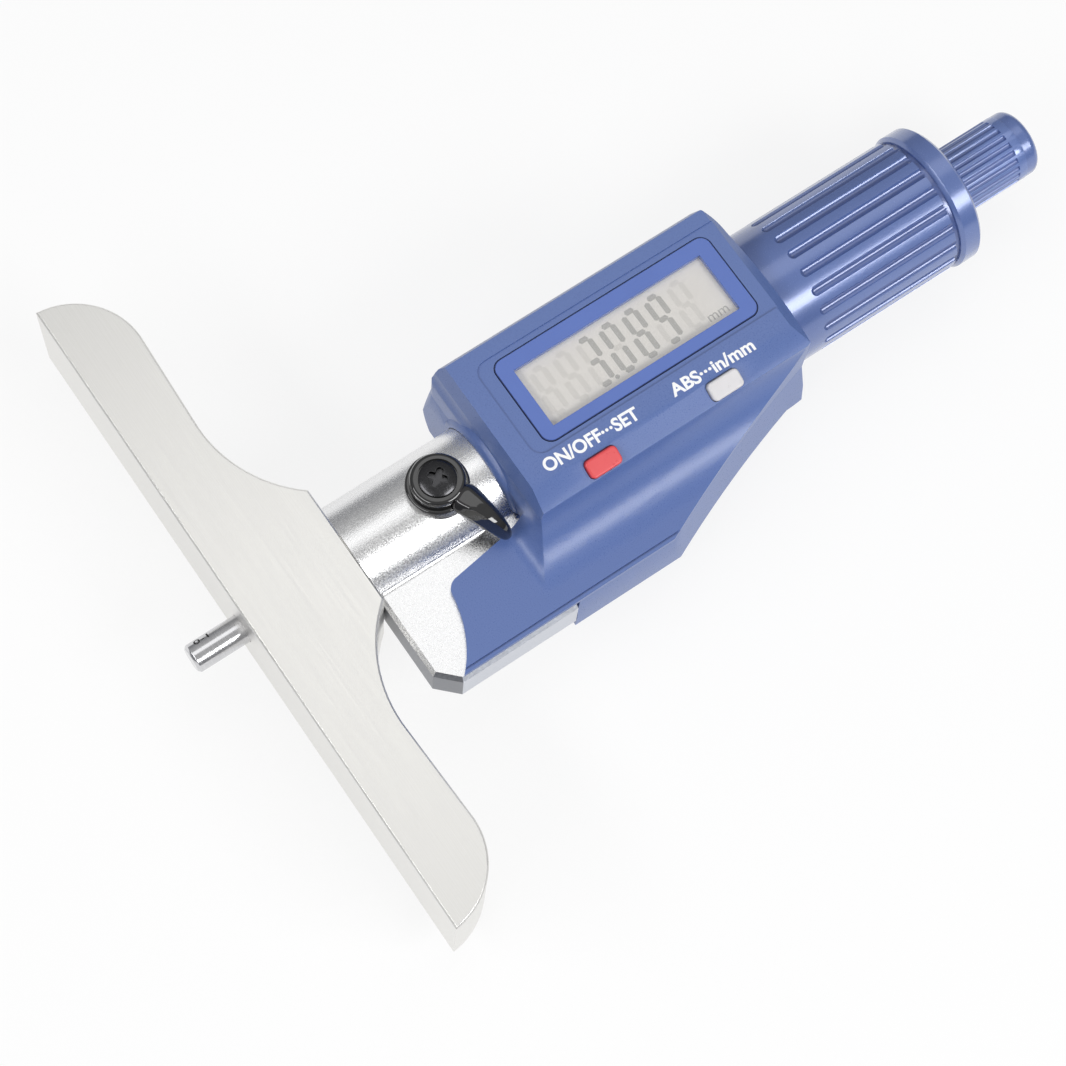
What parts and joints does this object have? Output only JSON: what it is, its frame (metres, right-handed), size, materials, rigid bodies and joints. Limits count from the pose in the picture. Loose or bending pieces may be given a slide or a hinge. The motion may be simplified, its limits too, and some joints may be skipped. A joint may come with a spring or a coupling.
{
  "type": "depth micrometer",
  "caption": "Digital depth micrometer: ground cross base, barrel with lock lever, blue display housing, grooved thimble and ratchet knob that feed a measuring rod.",
  "frame": {"origin": "centre of the measuring face, on the spindle's axis", "axes": "+Y along the spindle from the base to the ratchet knob, +X along the base to the side with the buttons, +Z out of the display"},
  "size_m": [0.1016, 0.1404, 0.0261],
  "materials": {
    "ground_steel": "fine ground satin",
    "satin_chrome": "sand-blasted satin chrome plate",
    "polished_steel": "ground and polished",
    "brass": "turned",
    "board_green": "solder mask",
    "blue_plastic": "fine spark-eroded grain",
    "clear_window": "polished, with a printed border",
    "lcd_glass": "polarising film",
    "dark_rubber": "matt",
    "cell_steel": "bright nickel plate",
    "black_lacquer": "gloss black",
    "blue_anodised": "satin anodised",
    "red_plastic": "satin gloss",
    "white_plastic": "satin gloss"
  },
  "bodies": {
    "frame": {"base": "ground_steel", "frame": "satin_chrome", "inner_sleeve": "polished_steel", "spindle_nut": "brass", "adjusting_nut": "polished_steel", "encoder_stator": "board_green", "thrust_washer": "polished_steel", "front_housing": "blue_plastic", "rear_cover": "blue_plastic", "housing_screws": "polished_steel", "display_window": "clear_window", "lcd_panel": "lcd_glass", "lcd_connector": "dark_rubber", "circuit_board": "board_green", "key_switches": "cell_steel", "battery": "cell_steel", "battery_contact": "cell_steel", "battery_cover": "blue_plastic", "lock_collar": "black_lacquer", "lock_shoe": "brass"},
    "rotor": {"encoder_rotor": "board_green", "rotor_bush": "brass"},
    "spindle": {"spindle": "polished_steel", "measuring_rod": "polished_steel", "rod_nuts": "polished_steel", "thimble": "blue_anodised", "spindle_cap": "polished_steel", "ratchet_screw": "polished_steel"},
    "ratchet": {"ratchet_knob": "blue_anodised", "ratchet_cap": "blue_anodised", "ratchet_disc": "polished_steel", "ratchet_spring": "polished_steel"},
    "lock": {"lock_lever": "black_lacquer", "lock_stud": "polished_steel", "lock_screw": "black_lacquer"},
    "power_button": {"power_button": "red_plastic"},
    "mode_button": {"mode_button": "white_plastic"}
  },
  "joints": [
    {"name": "spindle_turn", "type": "hinge", "parent": "frame", "child": "rotor", "pos_m": [0, 0, 0], "axis": [0, 1, 0], "range_deg": [-12260, 5780]},
    {"name": "spindle_feed", "type": "slide", "parent": "rotor", "child": "spindle", "axis": [0, 1, 0], "range_m": [-0.017, 0.008]},
    {"name": "ratchet_turn", "type": "hinge", "parent": "spindle", "child": "ratchet", "pos_m": [0, 0, 0], "axis": [0, 1, 0], "continuous": true},
    {"name": "lock_turn", "type": "hinge", "parent": "frame", "child": "lock", "pos_m": [0, 0.0313, 0], "axis": [0, 0, 1], "range_deg": [-60, 0]},
    {"name": "power_press", "type": "slide", "parent": "frame", "child": "power_button", "axis": [-0.4036, 0, -0.9149], "range_m": [0, 0.0004], "stiffness_N_per_m": 800},
    {"name": "mode_press", "type": "slide", "parent": "frame", "child": "mode_button", "axis": [-0.4036, 0, -0.9149], "range_m": [0, 0.0004], "stiffness_N_per_m": 800}
  ],
  "couplings": [
    {"joint": "spindle_turn", "follows": "spindle_feed", "rad_per_m": 12566}
  ]
}
